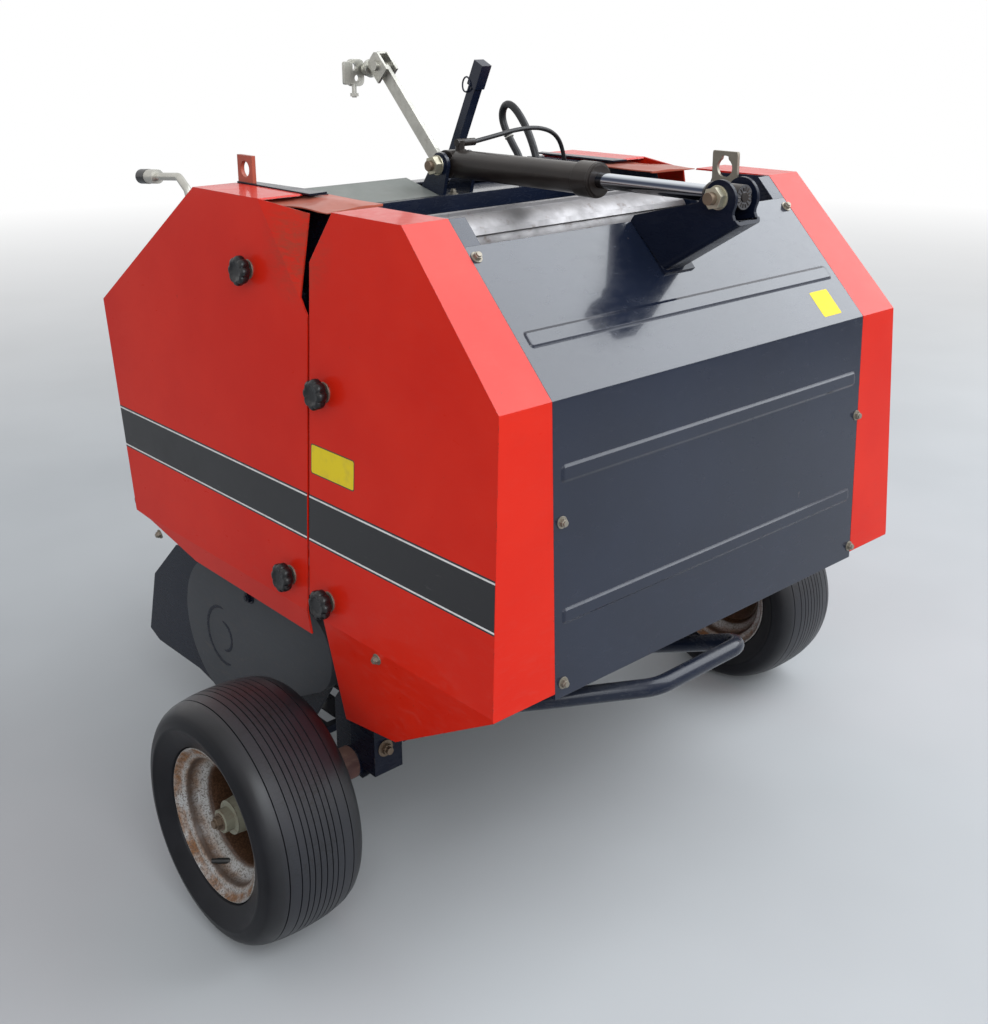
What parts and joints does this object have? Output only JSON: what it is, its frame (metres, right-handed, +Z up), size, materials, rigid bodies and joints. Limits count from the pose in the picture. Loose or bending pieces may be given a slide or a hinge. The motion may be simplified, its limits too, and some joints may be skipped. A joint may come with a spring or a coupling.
{
  "type": "mini round baler",
  "caption": "Small tractor-drawn round baler with folded side covers, roller chamber, opening tailgate with a top cylinder, tined pickup and low wheels.",
  "frame": {"origin": "on the ground under the middle of the machine's length and width", "axes": "+X forward towards the tractor, +Y to the left, +Z up"},
  "size_m": [1.1714, 1.349, 1.2802],
  "materials": {
    "black_plastic": "moulded",
    "chrome": "polished",
    "grey_paint": "satin enamel",
    "hose": "matt",
    "navy_paint": "satin enamel",
    "red_paint": "gloss enamel",
    "rim_paint": "weathered enamel",
    "steel": "galvanised",
    "tyre": "black rubber"
  },
  "bodies": {
    "wheel_left": {"tyre_left": "tyre", "rim_left": "rim_paint", "hub_left": "steel"},
    "wheel_right": {"tyre_right": "tyre", "rim_right": "rim_paint", "hub_right": "steel"},
    "tailgate": {"cover_knobs_gate": "black_plastic", "gate_covers": "red_paint", "gate_lifting_eye": "steel", "gate_plates": "navy_paint", "gate_trim": "navy_paint", "tailgate_arm": "navy_paint", "tailgate_panel": "navy_paint"},
    "barrel": {"cylinder_barrel": "navy_paint"},
    "rod": {"cylinder_rod": "chrome"},
    "roller_front_1": {"roller_front_1": "grey_paint"},
    "roller_front_2": {"roller_front_2": "grey_paint"},
    "roller_front_3": {"roller_front_3": "grey_paint"},
    "roller_front_4": {"roller_front_4": "grey_paint"},
    "roller_gate_1": {"roller_gate_1": "grey_paint"},
    "roller_gate_2": {"roller_gate_2": "grey_paint"},
    "roller_gate_3": {"roller_gate_3": "grey_paint"},
    "roller_gate_4": {"roller_gate_4": "grey_paint"},
    "roller_hinge": {"roller_hinge": "grey_paint"},
    "pickup": {"pickup_cases": "grey_paint", "pickup_plates": "navy_paint", "stripper_bands": "navy_paint"},
    "reel": {"pickup_reel": "navy_paint"},
    "input_shaft": {"input_shaft": "steel"},
    "cross_shaft": {"cross_shaft": "steel"},
    "stand": {"parking_stand": "navy_paint"},
    "frame": {"axle_beam": "navy_paint", "bale_guard": "navy_paint", "bridge_plates": "red_paint", "cover_knobs_front": "black_plastic", "crank_handle": "steel", "front_covers": "red_paint", "front_panel": "navy_paint", "gearbox": "grey_paint", "hand_lever": "navy_paint", "hitch_arms": "navy_paint", "hitch_beam": "navy_paint", "hitch_mast": "navy_paint", "lifting_eyes": "red_paint", "link_pins": "navy_paint", "side_plates": "navy_paint", "stay_arm": "steel", "thick_hose": "hose", "thin_hose": "hose", "top_deck": "navy_paint", "top_frame": "navy_paint", "top_rails": "navy_paint", "twine_box": "navy_paint", "wheel_brackets": "grey_paint"}
  },
  "joints": [
    {"name": "wheel_left_spin", "type": "hinge", "parent": "frame", "child": "wheel_left", "pos_m": [-0.15925, 0.589, 0.19], "axis": [0, 1, 0], "continuous": true},
    {"name": "wheel_right_spin", "type": "hinge", "parent": "frame", "child": "wheel_right", "pos_m": [-0.15925, -0.589, 0.19], "axis": [0, 1, 0], "continuous": true},
    {"name": "tailgate_swing", "type": "hinge", "parent": "frame", "child": "tailgate", "pos_m": [-0.14225, 0, 0.99], "axis": [0, 1, 0], "range_deg": [0, 55]},
    {"name": "cylinder_tilt", "type": "hinge", "parent": "frame", "child": "barrel", "pos_m": [0.04575, 0, 1.092], "axis": [0, 1, 0], "range_deg": [-0.5, 40.97]},
    {"name": "rod_slide", "type": "slide", "parent": "barrel", "child": "rod", "axis": [1, 0, 0], "range_m": [-0.001, 0.1506]},
    {"name": "roller_hinge_spin", "type": "hinge", "parent": "frame", "child": "roller_hinge", "pos_m": [-0.14225, 0, 0.99], "axis": [0, 1, 0], "continuous": true},
    {"name": "roller_front_1_spin", "type": "hinge", "parent": "frame", "child": "roller_front_1", "pos_m": [0.02723, 0, 0.90648], "axis": [0, 1, 0], "continuous": true},
    {"name": "roller_front_2_spin", "type": "hinge", "parent": "frame", "child": "roller_front_2", "pos_m": [0.11025, 0, 0.73811], "axis": [0, 1, 0], "continuous": true},
    {"name": "roller_front_3_spin", "type": "hinge", "parent": "frame", "child": "roller_front_3", "pos_m": [0.07363, 0, 0.554], "axis": [0, 1, 0], "continuous": true},
    {"name": "roller_front_4_spin", "type": "hinge", "parent": "frame", "child": "roller_front_4", "pos_m": [-0.17925, 0, 0.408], "axis": [0, 1, 0], "continuous": true},
    {"name": "roller_gate_1_spin", "type": "hinge", "parent": "tailgate", "child": "roller_gate_1", "pos_m": [-0.32525, 0, 0.95288], "axis": [0, 1, 0], "continuous": true},
    {"name": "roller_gate_2_spin", "type": "hinge", "parent": "tailgate", "child": "roller_gate_2", "pos_m": [-0.44902, 0, 0.81174], "axis": [0, 1, 0], "continuous": true},
    {"name": "roller_gate_3_spin", "type": "hinge", "parent": "tailgate", "child": "roller_gate_3", "pos_m": [-0.4613, 0, 0.62442], "axis": [0, 1, 0], "continuous": true},
    {"name": "roller_gate_4_spin", "type": "hinge", "parent": "tailgate", "child": "roller_gate_4", "pos_m": [-0.35701, 0, 0.46834], "axis": [0, 1, 0], "continuous": true},
    {"name": "pickup_lift", "type": "hinge", "parent": "frame", "child": "pickup", "pos_m": [-0.05925, 0, 0.355], "axis": [0, 1, 0], "range_deg": [-3, 8]},
    {"name": "reel_spin", "type": "hinge", "parent": "pickup", "child": "reel", "pos_m": [0.20675, 0, 0.284], "axis": [0, 1, 0], "continuous": true},
    {"name": "input_spin", "type": "hinge", "parent": "frame", "child": "input_shaft", "pos_m": [0.41275, 0, 0.6], "axis": [1, 0, 0], "continuous": true},
    {"name": "cross_shaft_spin", "type": "hinge", "parent": "frame", "child": "cross_shaft", "pos_m": [0.30075, 0, 0.6], "axis": [0, 1, 0], "continuous": true},
    {"name": "stand_swing", "type": "hinge", "parent": "frame", "child": "stand", "pos_m": [0.52075, 0.15, 0.395], "axis": [-1, 0, 0], "range_deg": [0, 90]}
  ],
  "couplings": [
    {"joint": "cylinder_tilt", "follows": "tailgate_swing", "ratio": 0.7358},
    {"joint": "rod_slide", "follows": "tailgate_swing", "m_per_rad": 0.15584},
    {"joint": "roller_front_1_spin", "follows": "roller_hinge_spin", "ratio": 1},
    {"joint": "roller_front_2_spin", "follows": "roller_hinge_spin", "ratio": 1},
    {"joint": "roller_front_3_spin", "follows": "roller_hinge_spin", "ratio": 1},
    {"joint": "roller_front_4_spin", "follows": "roller_hinge_spin", "ratio": 1},
    {"joint": "roller_gate_1_spin", "follows": "roller_hinge_spin", "ratio": 1},
    {"joint": "roller_gate_2_spin", "follows": "roller_hinge_spin", "ratio": 1},
    {"joint": "roller_gate_3_spin", "follows": "roller_hinge_spin", "ratio": 1},
    {"joint": "roller_gate_4_spin", "follows": "roller_hinge_spin", "ratio": 1},
    {"joint": "reel_spin", "follows": "roller_hinge_spin", "ratio": 0.75},
    {"joint": "input_spin", "follows": "roller_hinge_spin", "ratio": 3},
    {"joint": "cross_shaft_spin", "follows": "roller_hinge_spin", "ratio": 1}
  ]
}
